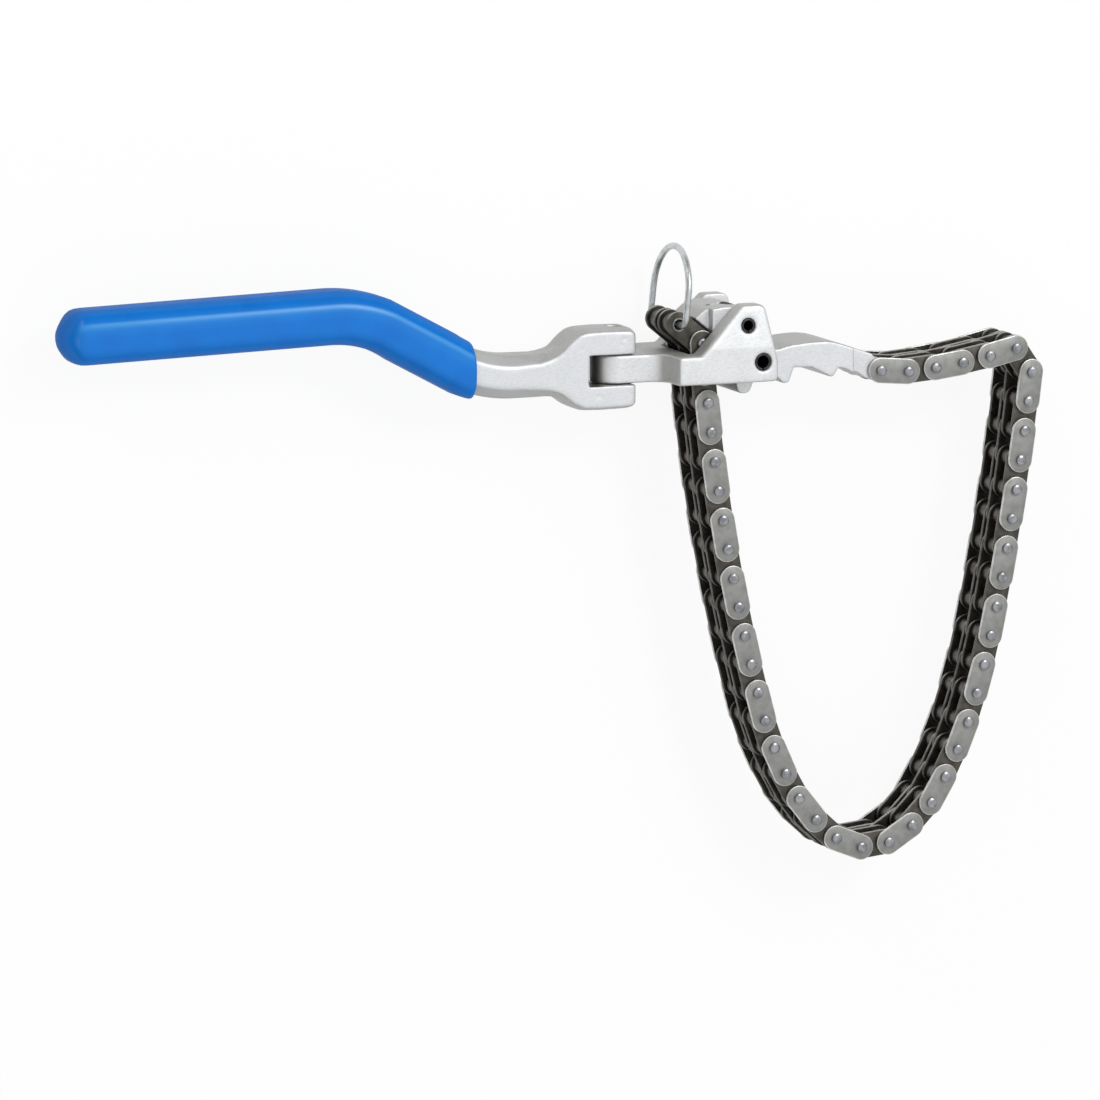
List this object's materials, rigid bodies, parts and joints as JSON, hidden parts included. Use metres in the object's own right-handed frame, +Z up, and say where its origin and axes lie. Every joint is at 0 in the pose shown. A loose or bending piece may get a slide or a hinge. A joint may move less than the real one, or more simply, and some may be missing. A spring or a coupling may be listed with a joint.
{
  "type": "chain oil filter wrench",
  "caption": "Chain wrench for oil filters: a cranked steel handle with a blue dipped grip swivels on a head that carries a toothed jaw, a sprung pawl and a double roller chain with a pull ring.",
  "frame": {"origin": "centre of the bounding box in plan, on the face of the cheek that the tool lies on", "axes": "+X along the tool from the grip to the jaw, +Y towards the pawl's side, +Z up from the cheek it lies on, along the chain's pins"},
  "size_m": [0.3266, 0.2001, 0.04],
  "materials": {
    "forged_steel": "satin",
    "blue_vinyl": "satin",
    "black_steel": "black oxide",
    "plate_steel": "oiled",
    "spring_steel": "bright",
    "zinc_wire": "zinc plated"
  },
  "bodies": {
    "head": {"head": "forged_steel", "pawl_pin": "black_steel", "jaw_pin": "black_steel"},
    "handle": {"handle": "forged_steel", "grip": "blue_vinyl", "swivel_pin": "black_steel"},
    "pawl": {"pawl": "forged_steel", "pawl_spring": "spring_steel"},
    "jaw": {"jaw": "forged_steel"},
    "chain_link_01": {"chain_link_01": "plate_steel"},
    "chain_link_02": {"chain_link_02": "plate_steel"},
    "chain_link_03": {"chain_link_03": "plate_steel"},
    "chain_link_04": {"chain_link_04": "plate_steel"},
    "chain_link_05": {"chain_link_05": "plate_steel"},
    "chain_link_06": {"chain_link_06": "plate_steel"},
    "chain_link_07": {"chain_link_07": "plate_steel"},
    "chain_link_08": {"chain_link_08": "plate_steel"},
    "chain_link_09": {"chain_link_09": "plate_steel"},
    "chain_link_10": {"chain_link_10": "plate_steel"},
    "chain_link_11": {"chain_link_11": "plate_steel"},
    "chain_link_12": {"chain_link_12": "plate_steel"},
    "chain_link_13": {"chain_link_13": "plate_steel"},
    "chain_link_14": {"chain_link_14": "plate_steel"},
    "chain_link_15": {"chain_link_15": "plate_steel"},
    "chain_link_16": {"chain_link_16": "plate_steel"},
    "chain_link_17": {"chain_link_17": "plate_steel"},
    "chain_link_18": {"chain_link_18": "plate_steel"},
    "chain_link_19": {"chain_link_19": "plate_steel"},
    "chain_link_20": {"chain_link_20": "plate_steel"},
    "chain_link_21": {"chain_link_21": "plate_steel"},
    "chain_link_22": {"chain_link_22": "plate_steel"},
    "chain_link_23": {"chain_link_23": "plate_steel"},
    "chain_link_24": {"chain_link_24": "plate_steel"},
    "chain_link_25": {"chain_link_25": "plate_steel"},
    "chain_link_26": {"chain_link_26": "plate_steel"},
    "chain_link_27": {"chain_link_27": "plate_steel"},
    "chain_link_28": {"chain_link_28": "plate_steel"},
    "chain_link_29": {"chain_link_29": "plate_steel"},
    "chain_link_30": {"chain_link_30": "plate_steel"},
    "chain_link_31": {"chain_link_31": "plate_steel"},
    "chain_link_32": {"chain_link_32": "plate_steel"},
    "chain_link_33": {"chain_link_33": "plate_steel"},
    "chain_link_34": {"chain_link_34": "plate_steel"},
    "chain_link_35": {"chain_link_35": "plate_steel"},
    "chain_link_36": {"chain_link_36": "plate_steel"},
    "chain_link_37": {"chain_link_37": "plate_steel"},
    "chain_link_38": {"chain_link_38": "plate_steel"},
    "chain_link_39": {"chain_link_39": "plate_steel"},
    "chain_link_40": {"chain_link_40": "plate_steel"},
    "chain_link_41": {"chain_link_41": "plate_steel"},
    "chain_link_42": {"chain_link_42": "plate_steel"},
    "chain_link_43": {"chain_link_43": "plate_steel"},
    "chain_link_44": {"chain_link_44": "plate_steel"},
    "ring": {"ring": "zinc_wire"}
  },
  "joints": [
    {"name": "handle_swivel", "type": "hinge", "parent": "head", "child": "handle", "pos_m": [0.01884, 0.06209, 0.02], "axis": [0, 1, 0], "range_deg": [-90, 90]},
    {"name": "pawl_lift", "type": "hinge", "parent": "head", "child": "pawl", "pos_m": [0.05704, 0.07559, 0.02], "axis": [0, 0, 1], "range_deg": [-40, 0], "stiffness_Nm_per_rad": 0.05, "springref_deg": 20.05},
    {"name": "jaw_rock", "type": "hinge", "parent": "head", "child": "jaw", "pos_m": [0.06184, 0.06399, 0.02], "axis": [0, 0, 1], "range_deg": [-12, 12]},
    {"name": "chain_joint_01", "type": "hinge", "parent": "jaw", "child": "chain_link_01", "pos_m": [0.10604, 0.05799, 0.02], "axis": [0, 0, 1], "range_deg": [-90, 90]},
    {"name": "chain_joint_02", "type": "hinge", "parent": "chain_link_01", "child": "chain_link_02", "pos_m": [0.11553, 0.0572, 0.02], "axis": [0, 0, 1], "range_deg": [-99.4, 80.6]},
    {"name": "chain_joint_03", "type": "hinge", "parent": "chain_link_02", "child": "chain_link_03", "pos_m": [0.12502, 0.05796, 0.02], "axis": [0, 0, 1], "range_deg": [-92.7, 87.3]},
    {"name": "chain_joint_04", "type": "hinge", "parent": "chain_link_03", "child": "chain_link_04", "pos_m": [0.13447, 0.05917, 0.02], "axis": [0, 0, 1], "range_deg": [-92.7, 87.3]},
    {"name": "chain_joint_05", "type": "hinge", "parent": "chain_link_04", "child": "chain_link_05", "pos_m": [0.14385, 0.06083, 0.02], "axis": [0, 0, 1], "range_deg": [-92.7, 87.3]},
    {"name": "chain_joint_06", "type": "hinge", "parent": "chain_link_05", "child": "chain_link_06", "pos_m": [0.15314, 0.06292, 0.02], "axis": [0, 0, 1], "range_deg": [-6, 6]},
    {"name": "chain_joint_07", "type": "hinge", "parent": "chain_link_06", "child": "chain_link_07", "pos_m": [0.15854, 0.05507, 0.02], "axis": [0, 0, 1], "range_deg": [-48.8, 131.2]},
    {"name": "chain_joint_08", "type": "hinge", "parent": "chain_link_07", "child": "chain_link_08", "pos_m": [0.15742, 0.04561, 0.02], "axis": [0, 0, 1], "range_deg": [-89.4, 90.6]},
    {"name": "chain_joint_09", "type": "hinge", "parent": "chain_link_08", "child": "chain_link_09", "pos_m": [0.15621, 0.03616, 0.02], "axis": [0, 0, 1], "range_deg": [-89.4, 90.6]},
    {"name": "chain_joint_10", "type": "hinge", "parent": "chain_link_09", "child": "chain_link_10", "pos_m": [0.1549, 0.02673, 0.02], "axis": [0, 0, 1], "range_deg": [-89.4, 90.6]},
    {"name": "chain_joint_11", "type": "hinge", "parent": "chain_link_10", "child": "chain_link_11", "pos_m": [0.1535, 0.01731, 0.02], "axis": [0, 0, 1], "range_deg": [-89.4, 90.6]},
    {"name": "chain_joint_12", "type": "hinge", "parent": "chain_link_11", "child": "chain_link_12", "pos_m": [0.15199, 0.0079, 0.02], "axis": [0, 0, 1], "range_deg": [-89.4, 90.6]},
    {"name": "chain_joint_13", "type": "hinge", "parent": "chain_link_12", "child": "chain_link_13", "pos_m": [0.15039, -0.00149, 0.02], "axis": [0, 0, 1], "range_deg": [-89.4, 90.6]},
    {"name": "chain_joint_14", "type": "hinge", "parent": "chain_link_13", "child": "chain_link_14", "pos_m": [0.14868, -0.01086, 0.02], "axis": [0, 0, 1], "range_deg": [-6, 6]},
    {"name": "chain_joint_15", "type": "hinge", "parent": "chain_link_14", "child": "chain_link_15", "pos_m": [0.14688, -0.02021, 0.02], "axis": [0, 0, 1], "range_deg": [-89.4, 90.6]},
    {"name": "chain_joint_16", "type": "hinge", "parent": "chain_link_15", "child": "chain_link_16", "pos_m": [0.14498, -0.02954, 0.02], "axis": [0, 0, 1], "range_deg": [-87.9, 92.1]},
    {"name": "chain_joint_17", "type": "hinge", "parent": "chain_link_16", "child": "chain_link_17", "pos_m": [0.14274, -0.0388, 0.02], "axis": [0, 0, 1], "range_deg": [-87.9, 92.1]},
    {"name": "chain_joint_18", "type": "hinge", "parent": "chain_link_17", "child": "chain_link_18", "pos_m": [0.14017, -0.04797, 0.02], "axis": [0, 0, 1], "range_deg": [-87.9, 92.1]},
    {"name": "chain_joint_19", "type": "hinge", "parent": "chain_link_18", "child": "chain_link_19", "pos_m": [0.13725, -0.05704, 0.02], "axis": [0, 0, 1], "range_deg": [-85.7, 94.3]},
    {"name": "chain_joint_20", "type": "hinge", "parent": "chain_link_19", "child": "chain_link_20", "pos_m": [0.13367, -0.06587, 0.02], "axis": [0, 0, 1], "range_deg": [-85.7, 94.3]},
    {"name": "chain_joint_21", "type": "hinge", "parent": "chain_link_20", "child": "chain_link_21", "pos_m": [0.12943, -0.0744, 0.02], "axis": [0, 0, 1], "range_deg": [-85.7, 94.3]},
    {"name": "chain_joint_22", "type": "hinge", "parent": "chain_link_21", "child": "chain_link_22", "pos_m": [0.12457, -0.08259, 0.02], "axis": [0, 0, 1], "range_deg": [-76.3, 103.7]},
    {"name": "chain_joint_23", "type": "hinge", "parent": "chain_link_22", "child": "chain_link_23", "pos_m": [0.11791, -0.08939, 0.02], "axis": [0, 0, 1], "range_deg": [-76.3, 103.7]},
    {"name": "chain_joint_24", "type": "hinge", "parent": "chain_link_23", "child": "chain_link_24", "pos_m": [0.10982, -0.09443, 0.02], "axis": [0, 0, 1], "range_deg": [-6, 6]},
    {"name": "chain_joint_25", "type": "hinge", "parent": "chain_link_24", "child": "chain_link_25", "pos_m": [0.10035, -0.09541, 0.02], "axis": [0, 0, 1], "range_deg": [-62, 118]},
    {"name": "chain_joint_26", "type": "hinge", "parent": "chain_link_25", "child": "chain_link_26", "pos_m": [0.09152, -0.09182, 0.02], "axis": [0, 0, 1], "range_deg": [-70, 110]},
    {"name": "chain_joint_27", "type": "hinge", "parent": "chain_link_26", "child": "chain_link_27", "pos_m": [0.08445, -0.08544, 0.02], "axis": [0, 0, 1], "range_deg": [-80.7, 99.3]},
    {"name": "chain_joint_28", "type": "hinge", "parent": "chain_link_27", "child": "chain_link_28", "pos_m": [0.07851, -0.07799, 0.02], "axis": [0, 0, 1], "range_deg": [-80.7, 99.3]},
    {"name": "chain_joint_29", "type": "hinge", "parent": "chain_link_28", "child": "chain_link_29", "pos_m": [0.07385, -0.06969, 0.02], "axis": [0, 0, 1], "range_deg": [-85.3, 94.7]},
    {"name": "chain_joint_30", "type": "hinge", "parent": "chain_link_29", "child": "chain_link_30", "pos_m": [0.06989, -0.06103, 0.02], "axis": [0, 0, 1], "range_deg": [-85.3, 94.7]},
    {"name": "chain_joint_31", "type": "hinge", "parent": "chain_link_30", "child": "chain_link_31", "pos_m": [0.06664, -0.05207, 0.02], "axis": [0, 0, 1], "range_deg": [-85.3, 94.7]},
    {"name": "chain_joint_32", "type": "hinge", "parent": "chain_link_31", "child": "chain_link_32", "pos_m": [0.06415, -0.04288, 0.02], "axis": [0, 0, 1], "range_deg": [-89.2, 90.8]},
    {"name": "chain_joint_33", "type": "hinge", "parent": "chain_link_32", "child": "chain_link_33", "pos_m": [0.06178, -0.03365, 0.02], "axis": [0, 0, 1], "range_deg": [-89.2, 90.8]},
    {"name": "chain_joint_34", "type": "hinge", "parent": "chain_link_33", "child": "chain_link_34", "pos_m": [0.05956, -0.02439, 0.02], "axis": [0, 0, 1], "range_deg": [-6, 6]},
    {"name": "chain_joint_35", "type": "hinge", "parent": "chain_link_34", "child": "chain_link_35", "pos_m": [0.05748, -0.0151, 0.02], "axis": [0, 0, 1], "range_deg": [-89.2, 90.8]},
    {"name": "chain_joint_36", "type": "hinge", "parent": "chain_link_35", "child": "chain_link_36", "pos_m": [0.05553, -0.00577, 0.02], "axis": [0, 0, 1], "range_deg": [-89.2, 90.8]},
    {"name": "chain_joint_37", "type": "hinge", "parent": "chain_link_36", "child": "chain_link_37", "pos_m": [0.05372, 0.00358, 0.02], "axis": [0, 0, 1], "range_deg": [-89.2, 90.8]},
    {"name": "chain_joint_38", "type": "hinge", "parent": "chain_link_37", "child": "chain_link_38", "pos_m": [0.05205, 0.01296, 0.02], "axis": [0, 0, 1], "range_deg": [-89.2, 90.8]},
    {"name": "chain_joint_39", "type": "hinge", "parent": "chain_link_38", "child": "chain_link_39", "pos_m": [0.05052, 0.02236, 0.02], "axis": [0, 0, 1], "range_deg": [-89.2, 90.8]},
    {"name": "chain_joint_40", "type": "hinge", "parent": "chain_link_39", "child": "chain_link_40", "pos_m": [0.04913, 0.03178, 0.02], "axis": [0, 0, 1], "range_deg": [-6, 6]},
    {"name": "chain_joint_41", "type": "hinge", "parent": "chain_link_40", "child": "chain_link_41", "pos_m": [0.04787, 0.04122, 0.02], "axis": [0, 0, 1], "range_deg": [-89.2, 90.8]},
    {"name": "chain_joint_42", "type": "hinge", "parent": "chain_link_41", "child": "chain_link_42", "pos_m": [0.04676, 0.05068, 0.02], "axis": [0, 0, 1], "range_deg": [-89.2, 90.8]},
    {"name": "chain_joint_43", "type": "hinge", "parent": "chain_link_42", "child": "chain_link_43", "pos_m": [0.04579, 0.06016, 0.02], "axis": [0, 0, 1], "range_deg": [-90.3, 89.7]},
    {"name": "chain_joint_44", "type": "hinge", "parent": "chain_link_43", "child": "chain_link_44", "pos_m": [0.04477, 0.06963, 0.02], "axis": [0, 0, 1], "range_deg": [-2, 15]},
    {"name": "ring_swing", "type": "hinge", "parent": "chain_link_44", "child": "ring", "pos_m": [0.03741, 0.07567, 0.02], "axis": [0, 0, 1], "range_deg": [-35, 60]}
  ],
  "couplings": [
    {"joint": "chain_joint_01", "follows": "jaw_rock", "ratio": -0.16},
    {"joint": "chain_joint_02", "follows": "chain_joint_06", "ratio": 0.2815},
    {"joint": "chain_joint_03", "follows": "jaw_rock", "ratio": 0.1813},
    {"joint": "chain_joint_04", "follows": "chain_joint_06", "ratio": -0.8499},
    {"joint": "chain_joint_05", "follows": "jaw_rock", "ratio": -0.24},
    {"joint": "chain_joint_07", "follows": "jaw_rock", "ratio": -0.25},
    {"joint": "chain_joint_08", "follows": "chain_joint_06", "ratio": -0.949},
    {"joint": "chain_joint_09", "follows": "jaw_rock", "ratio": -0.2},
    {"joint": "chain_joint_10", "follows": "chain_joint_06", "ratio": 0.4981},
    {"joint": "chain_joint_11", "follows": "jaw_rock", "ratio": -0.231},
    {"joint": "chain_joint_12", "follows": "chain_joint_14", "ratio": -0.3731},
    {"joint": "chain_joint_13", "follows": "jaw_rock", "ratio": 0.17},
    {"joint": "chain_joint_15", "follows": "jaw_rock", "ratio": 0.16},
    {"joint": "chain_joint_16", "follows": "chain_joint_14", "ratio": -0.8758},
    {"joint": "chain_joint_17", "follows": "jaw_rock", "ratio": 0.15},
    {"joint": "chain_joint_18", "follows": "chain_joint_14", "ratio": 0.25},
    {"joint": "chain_joint_19", "follows": "jaw_rock", "ratio": 0.2401},
    {"joint": "chain_joint_20", "follows": "chain_joint_24", "ratio": 0.25},
    {"joint": "chain_joint_21", "follows": "jaw_rock", "ratio": 0.2335},
    {"joint": "chain_joint_22", "follows": "chain_joint_24", "ratio": -0.7757},
    {"joint": "chain_joint_23", "follows": "jaw_rock", "ratio": 0.14},
    {"joint": "chain_joint_25", "follows": "jaw_rock", "ratio": -0.12},
    {"joint": "chain_joint_26", "follows": "chain_joint_24", "ratio": -0.7232},
    {"joint": "chain_joint_27", "follows": "jaw_rock", "ratio": -0.12},
    {"joint": "chain_joint_28", "follows": "chain_joint_24", "ratio": 0.25},
    {"joint": "chain_joint_29", "follows": "jaw_rock", "ratio": -0.12},
    {"joint": "chain_joint_30", "follows": "chain_joint_34", "ratio": 0.25},
    {"joint": "chain_joint_31", "follows": "jaw_rock", "ratio": -0.12},
    {"joint": "chain_joint_32", "follows": "chain_joint_34", "ratio": -0.8763},
    {"joint": "chain_joint_33", "follows": "jaw_rock", "ratio": -0.12},
    {"joint": "chain_joint_35", "follows": "jaw_rock", "ratio": -0.12},
    {"joint": "chain_joint_36", "follows": "chain_joint_34", "ratio": -0.3728},
    {"joint": "chain_joint_37", "follows": "jaw_rock", "ratio": -0.12},
    {"joint": "chain_joint_38", "follows": "chain_joint_40", "ratio": -0.4978},
    {"joint": "chain_joint_39", "follows": "jaw_rock", "ratio": -0.12},
    {"joint": "chain_joint_41", "follows": "jaw_rock", "ratio": -0.12},
    {"joint": "chain_joint_42", "follows": "chain_joint_40", "ratio": -0.5082},
    {"joint": "chain_joint_43", "follows": "jaw_rock", "ratio": -0.12}
  ]
}
